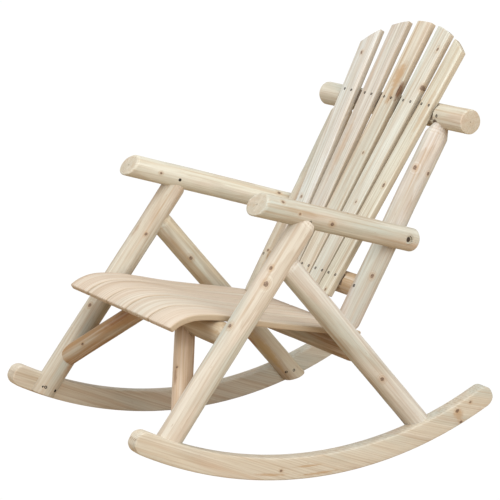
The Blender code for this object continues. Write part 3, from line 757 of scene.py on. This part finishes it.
for side, x in SIDES:
    low_yz = along(LEG_FOOT, LEG_LEAN, leg_low)
    low = point(x * SIDE_X, low_yz)
    high = point(x * SIDE_X, along(LEG_FOOT, LEG_LEAN, leg_top - ARM_R * END_IN))
    log("front_leg_" + side, low, high, LEG_R, high=(LEG_R * 0.74, 0.016), cone=0.6,
        low_cut=arc_normal(low_yz))

    low_yz = along(BRACE_AT, BRACE_LEAN, brace_low)
    low = point(x * SIDE_X, low_yz)
    high = point(x * SIDE_X, along(BRACE_AT, BRACE_LEAN, brace_top - LEG_R * END_IN))
    log("rear_brace_" + side, low, high, BRACE_R, high=(BRACE_R * 0.76, 0.014), cone=0.8,
        low_cut=arc_normal(low_yz))

    run = (arm_point(x, ARM_REAR) - arm_point(x, ARM_FRONT)).normalized()
    up = Vector((0, 0, 1))
    up = (up - run * up.dot(run)).normalized()
    face = (run - up * ARM_SLANT - Vector((1, 0, 0)) * ARM_SKEW).normalized()
    front = arm_point(x, ARM_FRONT) + run * ARM_SAWN
    rear = arm_point(x, ARM_REAR)
    hole = point(x * (arm_rear_x + ARM_R + 0.004), post_meets_arm)
    rust = axes(front, rear).inverted() @ (hole - Vector((x * 0.008, 0, 0)))
    arm = log("arm_" + side, front, rear, ARM_R, low_cut=face, low=(ARM_R - 0.0050, 0.0055),
              high=(ARM_R - 0.0065, 0.0065), stains_and_shade=[(*rust, 0.0125, 0.0125, 0.85, RUST)])
    cut_away(arm, [drill(hole, Vector((-x, 0, 0)), BOLT_HOLE)])

# --- logs: seat rails and slanting front braces -------------------------------


def smooth_line(points, count=8):
    """Catmull-Rom samples through the given points."""
    ends = [points[0]] + list(points) + [points[-1]]
    line = []
    for i in range(1, len(ends) - 2):
        a, b, c, d = ends[i - 1:i + 3]
        for k in range(count):
            t = k / count
            line.append(tuple(
                0.5 * (2 * q + (r - p) * t + (2 * p - 5 * q + 4 * r - s) * t * t
                       + (3 * q - p - 3 * r + s) * t ** 3)
                for p, q, r, s in zip(a, b, c, d)))
    return line + [points[-1]]


def offset_line(line, distance):
    """The line moved along its own normal, downwards for a positive distance."""
    moved = []
    for i, (y, z) in enumerate(line):
        y0, z0 = line[max(i - 1, 0)]
        y1, z1 = line[min(i + 1, len(line) - 1)]
        long = math.hypot(y1 - y0, z1 - z0)
        moved.append((y + (z1 - z0) / long * distance, z - (y1 - y0) / long * distance))
    return moved


seat_top = smooth_line(SEAT_LINE)
rail_spots = {}
for name, y in (("front", FRONT_RAIL_Y), ("rear", REAR_RAIL_Y)):
    nearest = min(range(len(seat_top)), key=lambda i: abs(seat_top[i][0] - y))
    spot = offset_line(seat_top, SEAT_THICK + FIT + RAIL_R)[nearest]
    rail_spots[name] = spot
    reach = SIDE_X - LEG_R * END_IN
    neck = (RAIL_R * NECK, CONE)
    log("seat_rail_" + name, point(reach, spot), point(-reach, spot), RAIL_R, neck, neck)

knee_low = along(LEG_FOOT, LEG_LEAN, KNEE_LOW)
knee_rise = crossing(knee_low, LEG_LEAN, rail_spots["front"], LEG_LEAN + math.pi / 2)
for side, x in SIDES:
    low = point(x * SIDE_X, knee_low)
    high = point(x * (SIDE_X - knee_rise), along(knee_low, LEG_LEAN, knee_rise))
    run = (high - low).normalized()
    log("front_brace_" + side, low + run * 0.012, high, KNEE_R)

# --- logs: the back's posts and crossbars -------------------------------------

slat_lean = math.atan2(SLAT_FACE_HIGH[1] - SLAT_FACE_LOW[1], SLAT_FACE_HIGH[0] - SLAT_FACE_LOW[0])
slat_up = Vector((0, math.cos(slat_lean), math.sin(slat_lean)))
slat_out = Vector((0, -math.sin(slat_lean), math.cos(slat_lean)))
slat_row = math.dist(SLAT_FACE_LOW, SLAT_FACE_HIGH)
slat_turn = Matrix((Vector((1, 0, 0)), slat_up, slat_out)).transposed().to_4x4()


def slat_spot(x, s, depth):
    """Point at height s up the back, this far behind the front face of the slats."""
    return point(x, SLAT_FACE_LOW) + slat_up * s - slat_out * depth


def slat_edge(n, s, hand):
    """Where slat n ends to one hand at height s; 0 is the sitter's leftmost slat."""
    low, high = SLAT_EDGES[n]
    k = (1 + hand) // 2
    return low[k] + (high[k] - low[k]) * s / SLAT_SPAN


def slat_middle(n, s):
    return (slat_edge(n, s, 1) + slat_edge(n, s, -1)) / 2


def slat_wide(n, s):
    return slat_edge(n, s, 1) - slat_edge(n, s, -1)


top_bar_at = along(BACK_LOW, BACK_LEAN, BACK_SPAN)
top_bar = log("top_crossbar", point(TOP_BAR_HALF, top_bar_at), point(-TOP_BAR_HALF, top_bar_at),
              TOP_BAR_R)
low_bar = log("lower_crossbar", point(POST_X - POST_R * END_IN, BACK_LOW),
              point(-POST_X + POST_R * END_IN, BACK_LOW), LOW_BAR_R)
for bar, s in ((top_bar, slat_row), (low_bar, 0.0)):
    place = Matrix.Translation(slat_spot(0, 0, 0)) @ slat_turn
    cut_away(bar, [block((slat_edge(4, s, -1) - EAVE, s - 0.05, -SLAT_THICK - FIT),
                         (slat_edge(0, s, 1) + EAVE, s + 0.05, 0.02), place)])

nearest = min(range(len(seat_top)), key=lambda i: abs(seat_top[i][0] - 0.104))
seat_run = Vector((0, seat_top[nearest + 1][0] - seat_top[nearest][0],
                   seat_top[nearest + 1][1] - seat_top[nearest][1])).normalized()
seat_up = Vector((0, -seat_run.z, seat_run.y))
post_axis = Vector((0, math.cos(BACK_LEAN), math.sin(BACK_LEAN)))
for side, x in SIDES:
    touch = point(x * POST_X, seat_top[nearest])
    base = point(x * POST_X, BACK_LOW)
    low = base + post_axis * ((touch - base).dot(seat_up) / post_axis.dot(seat_up))
    high = base + post_axis * (BACK_SPAN - TOP_BAR_R * 0.5)
    log("back_post_" + side, low, high, POST_R, low=(POST_R * 0.84, 0.012), cone=0.9,
        high=(POST_R * 0.52, 0.034), low_cut=seat_up)

# --- boards: seat, back slats and rockers -------------------------------------


def evenly(line, step):
    """Points along a side view line at stations close together near its ends."""
    runs = [0.0]
    for a, b in zip(line, line[1:]):
        runs.append(runs[-1] + math.dist(a, b))
    spots = stations(runs[-1], step)
    ys = np.interp(spots, runs, [p[0] for p in line])
    zs = np.interp(spots, runs, [p[1] for p in line])
    return list(zip(ys, zs)), runs[-1]


seat_middle, seat_long = evenly(offset_line(smooth_line(SEAT_LINE, 24), SEAT_THICK / 2), 0.006)
for i in range(5):
    left, right = SEAT_SEAMS[i] + SEAM / 2, SEAT_SEAMS[i + 1] - SEAM / 2
    name = "seat_slat_%d" % (5 - i)
    seed = next(seeds)
    material = wood(name, pith=(0.02 * (i - 2), 0.034 + 0.012 * (i % 3)), seed=seed,
                    tone=(0.67, 0.570, 0.460), spacing=0.0056, rings=0.42, streak=0.5, patch=0.4,
                    deep=0.02, edge=0.85)
    middle = (left + right) / 2
    sizes = {"Length": seat_long, "Low Width": right - left, "High Width": right - left,
             "Thickness": SEAT_THICK, "Ease": 0.0032, "Nose": 0.0, "Wobble": 0.0003,
             "Seed": float(seed)}
    piece = grow(name, [(0, y, z) for y, z in seat_middle], BOARD_TREE, sizes, material,
                 Matrix.Translation(Vector((middle, 0, 0))))
    finish(piece, "seat_board", name)

# Knots, splits and stains of each back slat: across the back, height up it, then sizes.
SLAT_KNOTS = (
    ((0.147, 0.237, 0.0046), (0.118, -0.040, 0.0034)),
    ((0.112, 0.488, 0.0056), (0.104, 0.588, 0.0040), (0.075, 0.180, 0.0030)),
    ((0.012, 0.300, 0.0030),),
    ((-0.109, 0.357, 0.0040), (-0.113, 0.419, 0.0046), (-0.060, 0.100, 0.0030)),
    ((-0.187, 0.552, 0.0040), (-0.146, 0.157, 0.0038)),
)
SLAT_TONES = ((0.66, 0.640, 0.525), (0.69, 0.700, 0.620), (0.67, 0.620, 0.510),
              (0.62, 0.585, 0.525), (0.73, 0.745, 0.715))
SLAT_CRACKS = {2: ((0.030, 0.470, 0.0022, 0.022), (0.010, 0.445, 0.0012, 0.016))}
SLAT_STAINS = {
    2: ((0.006, 0.505, 0.020, 0.045, 0.70, AMBER), (0.008, 0.452, 0.012, 0.028, 0.60, AMBER),
        (0.0315, 0.470, 0.0060, 0.030, 0.90, (0.17, 0.075, 0.030))),
    0: ((0.165, 0.430, 0.012, 0.070, 0.35, AMBER),),
    3: ((-0.080, 0.300, 0.014, 0.090, 0.35, AMBER),),
}
for n in range(5):
    name = "back_slat_%d" % (n + 1)
    seed = next(seeds)
    s_high = ARCH_TOP
    for _ in range(20):  # closes in on where the slat's middle line meets the arch
        s_high = ARCH_TOP - ARCH_R + math.sqrt(ARCH_R ** 2 - slat_middle(n, s_high) ** 2) - TRIM
    foot, top = (slat_middle(n, SLAT_FOOT), SLAT_FOOT), (slat_middle(n, s_high), s_high)
    long = math.dist(foot, top)
    points = [(foot[0] + (top[0] - foot[0]) * d / long, foot[1] + (top[1] - foot[1]) * d / long, 0)
              for d in stations(long, 0.006)]
    front = -SLAT_THICK / 2
    marks = {}
    for kind, depth, found in (("knots", front, SLAT_KNOTS[n]), ("cracks", 0, SLAT_CRACKS.get(n, ())),
                               ("stains_and_shade", front, SLAT_STAINS.get(n, ()))):
        marks[kind] = [(x - slat_middle(n, s), depth, s - SLAT_FOOT, *rest) for x, s, *rest in found]
    material = wood(name, pith=(0.024 - 0.012 * n, 0.026 + 0.006 * (n % 3)), seed=seed,
                    tone=SLAT_TONES[n], spacing=0.0042, rings=0.34, streak=0.8, patch=0.6,
                    deep=0.016, edge=0.5, **marks)
    sizes = {"Length": long, "Low Width": slat_wide(n, SLAT_FOOT),
             "High Width": slat_wide(n, s_high), "Thickness": SLAT_THICK, "Ease": 0.0022,
             "Arch": 1.0, "Arch Radius": ARCH_R, "Arch Centre": ARCH_TOP - ARCH_R - TRIM,
             "Wobble": 0.0004, "Seed": float(seed)}
    place = Matrix.Translation(slat_spot(0, 0, SLAT_THICK / 2)) @ slat_turn
    piece = grow(name, points, BOARD_TREE, sizes, material, place)
    finish(piece, "back_board", name)

rocker_mid = ROCKER_R - ROCKER_DEPTH / 2
start, end = (math.asin(y / rocker_mid) * rocker_mid for y in (ROCKER_FRONT + TRIM, ROCKER_REAR - TRIM))
# Knots on each rocker's outer side: distance along it, distance across it, and size.
ROCKER_KNOTS = {"left": ((0.351, -0.011, 0.0046), (0.352, 0.020, 0.0036), (0.392, -0.012, 0.0030),
                         (-0.142, 0.003, 0.0032)),
                "right": ((-0.199, 0.013, 0.0030), (0.120, -0.006, 0.0028))}
# Resin streaks there: distance across it, distance along it, half width and half length.
ROCKER_STREAKS = ((0.012, -0.170, 0.004, 0.050), (-0.004, -0.070, 0.003, 0.040),
                  (0.016, -0.040, 0.003, 0.060), (0.000, 0.350, 0.016, 0.016))
for side, x in SIDES:
    name = "rocker_" + side
    seed = next(seeds)
    outer = x * ROCKER_THICK / 2
    material = wood(name, pith=(0.030, 0.012), seed=seed, tone=(0.67, 0.615, 0.500),
                    spacing=0.0060, rings=0.25, streak=0.55, patch=0.7, tilt=0.10,
                    knots=[(outer, v, s - start, size) for s, v, size in ROCKER_KNOTS[side]],
                    stains_and_shade=[(outer, v, s - start, wide, tall, 0.55, AMBER)
                            for v, s, wide, tall in ROCKER_STREAKS])
    turns = [(start + d) / rocker_mid for d in stations(end - start, 0.006)]
    points = [(0, rocker_mid * math.sin(a), ROCKER_R - rocker_mid * math.cos(a)) for a in turns]
    sizes = {"Length": end - start, "Low Width": ROCKER_THICK, "High Width": ROCKER_THICK,
             "Thickness": ROCKER_DEPTH - 2 * TRIM, "Ease": 0.0040, "Nose": ROCKER_NOSE, "Wobble": 0.0,
             "Seed": float(seed)}
    piece = grow(name, points, BOARD_TREE, sizes, material,
                 Matrix.Translation(Vector((x * (ROCKER_IN + ROCKER_THICK / 2), 0, 0))))
    finish(piece, "rocker_wood", name)

# --- fasteners ----------------------------------------------------------------


def screw_row_tree():
    """Dished cross-head screws standing on given spots, each along its own aim."""
    group, tree, given = shape_tree("screw_row", {
        "Head Radius": 0.0034, "Head Height": 0.0012, "Dish": 0.0006, "Slot Width": 0.0006,
        "Slot Depth": 0.0009, "Material": None})
    radius, high = given("Head Radius"), given("Head Height")
    head = tree.add("GeometryNodeMeshCylinder", {"fill_type": "TRIANGLE_FAN"},
                    {"Vertices": 24, "Side Segments": 1, "Fill Segments": 7, "Radius": radius,
                     "Depth": high})
    spot = tree.split(tree.add("GeometryNodeInputPosition"))
    x, y, z = spot.out("X"), spot.out("Y"), spot.out("Z")
    far = (x * x + y * y).math("SQRT") / radius
    top = z.math("GREATER_THAN", 0.0)
    arm = x.math("ABSOLUTE").math("MINIMUM", y.math("ABSOLUTE"))
    cross = tree.step(arm, given("Slot Width"), given("Slot Width") * 1.5, 1.0, 0.0)
    cross = cross * tree.step(far, 0.55, 0.75, 1.0, 0.0)
    rim = tree.step(far, 0.80, 1.0)
    drop = (cross * given("Slot Depth") + rim * rim * given("Dish")) * top
    head = tree.add("GeometryNodeSetPosition", {}, {"Geometry": head, "Offset": tree.xyz(z=drop * -1)})
    aim = kept(tree, "aim", "FLOAT_VECTOR")
    facing = tree.add("FunctionNodeAlignRotationToVector", {"axis": "Z"}, {"Vector": aim})
    spin = tree.add("FunctionNodeRandomValue", {"data_type": "FLOAT"}, {2: 0.0, 3: 3.1, "Seed": 4}, 1)
    row = tree.add("GeometryNodeInstanceOnPoints", {},
                   {"Points": given("Geometry"), "Instance": head, "Rotation": facing})
    row = tree.add("GeometryNodeRotateInstances", {}, {"Instances": row, "Rotation": tree.xyz(z=spin)})
    end_tree(tree, row, given("Material"))
    return group


SCREW_TREE = screw_row_tree()


def screw_row(name, spots, material, sizes):
    """Screw heads at (place, outward) pairs in side view coordinates."""
    mesh = bpy.data.meshes.new(name)
    mesh.from_pydata([REST @ at for at, _ in spots], [], [])
    aim = mesh.attributes.new("aim", "FLOAT_VECTOR", "POINT")
    turn = REST.to_3x3()
    aim.data.foreach_set("vector", [v for _, out in spots for v in turn @ out])
    row = add_object(name, mesh)
    baked = run_tree(row, SCREW_TREE, sizes, material)
    row.modifiers.clear()
    row.data = baked
    bpy.data.meshes.remove(mesh)
    baked.set_sharp_from_angle(angle=math.radians(30))
    return row


screw_metal = steel("black_screw_steel", (0.036, 0.029, 0.023), 0.35)
bolt_metal = steel("dull_bolt_steel", (0.10, 0.07, 0.05), 0.5)
for name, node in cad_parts.items():
    if "screw" in name or "bolt" in name:
        for slot in node.material_slots:
            slot.material = screw_metal if "screw" in name else bolt_metal

spots = [(slat_spot(slat_middle(n, s) + hand * SLAT_SCREW_APART, s, -0.0002), slat_out)
         for n in range(5) for s in (0.0, slat_row) for hand in (1, -1)]
row = screw_row("back_slat_screws", spots, screw_metal, {})
finish(row, "screw_steel")

# Screws that pin the frame's joints: the log, distance along it and angle about it.
FRAME_SCREWS = (
    ("arm_left", 0.137, 23), ("arm_left", 0.133, 163), ("arm_right", 0.129, 12),
    ("arm_right", 0.133, 163), ("top_crossbar", 0.093, -170), ("top_crossbar", 0.501, -170),
    ("back_post_left", 0.093, -90), ("back_post_right", 0.095, -94),
    ("front_leg_right", 0.017, -28), ("front_leg_right", 0.022, 29),
    ("front_leg_left", 0.017, -152), ("front_leg_left", 0.022, 151),
    ("rear_brace_right", 0.039, -34), ("rear_brace_right", 0.028, 4),
    ("rear_brace_left", 0.039, -146), ("rear_brace_left", 0.028, 176),
)
spots = []
for name, s, angle in FRAME_SCREWS:
    place, radius = LOGS[name]
    out = Vector((math.cos(math.radians(angle)), math.sin(math.radians(angle)), 0))
    spots.append((place @ (out * (radius + 0.0002) + Vector((0, 0, s))), place.to_3x3() @ out))
row = screw_row("frame_screws", spots, screw_metal, {"Head Radius": 0.0038})
finish(row, "screw_steel")

# --- floor, light and camera --------------------------------------------------

shape = bmesh.new()
bmesh.ops.create_grid(shape, x_segments=8, y_segments=8, size=30.0)
mesh = bpy.data.meshes.new("studio_floor")
shape.to_mesh(mesh)
shape.free()
floor = add_object("studio_floor", mesh)
paper, tree, shader = new_material("pale_paper")
seen = tree.add("ShaderNodeLightPath", out="Is Camera Ray")
shader.inputs["Base Color"].default_value = (0.48, 0.345, 0.21, 1)
shader.inputs["Roughness"].default_value = 0.9
glow = tree.add("ShaderNodeEmission", {}, {"Color": (1, 1, 1, 1), "Strength": 1.02})
plain = Wire(tree, shader.outputs[0])
sheet = tree.add("ShaderNodeMixShader", {}, (seen, plain, glow))
paper.node_tree.links.new(sheet.socket, paper.node_tree.nodes["Material Output"].inputs["Surface"])
mesh.materials.append(paper)
floor.location.z = -FLOOR_GAP

world = bpy.data.worlds.new("soft_studio")
bpy.context.scene.world = world
world.use_nodes = True
tree = Tree(world.node_tree)
seen = tree.add("ShaderNodeLightPath", out="Is Camera Ray")
world.node_tree.links.new((0.54 + seen * 0.48).socket,
                          world.node_tree.nodes["Background"].inputs["Strength"])
world.node_tree.nodes["Background"].inputs["Color"].default_value = (1.0, 1.0, 1.0, 1)
bpy.context.scene.view_settings.view_transform = "Standard"


LIT_POINT = Vector((0, 0, 0.45))


def softbox(name, at, size, power):
    """A square white lamp turned to the middle of the chair."""
    lamp = bpy.data.lights.new(name, "AREA")
    lamp.energy, lamp.size = power, size
    holder = add_object(name, lamp)
    holder.location = at
    holder.rotation_euler = (LIT_POINT - Vector(at)).to_track_quat("-Z", "Y").to_euler()


softbox("front_softbox", (-0.6, -2.6, 2.2), 1.8, 30)
softbox("overhead_softbox", (0.5, -0.2, 3.2), 2.2, 36)
softbox("side_softbox", (3.2, -0.1, 2.1), 2.2, 78)

camera = add_object("camera", bpy.data.cameras.new("camera"))
camera.data.lens, camera.data.sensor_width = 143.88, 36.0
camera.data.clip_start, camera.data.clip_end = 0.1, 100.0
eye, aim = Vector((3.91726, -2.36913, 1.42932)), Vector((0.0, -0.02571, 0.45992))
turn = (aim - eye).to_track_quat("-Z", "Y").to_matrix().to_4x4()
camera.matrix_world = REST @ Matrix.Translation(eye) @ turn
bpy.context.scene.camera = camera
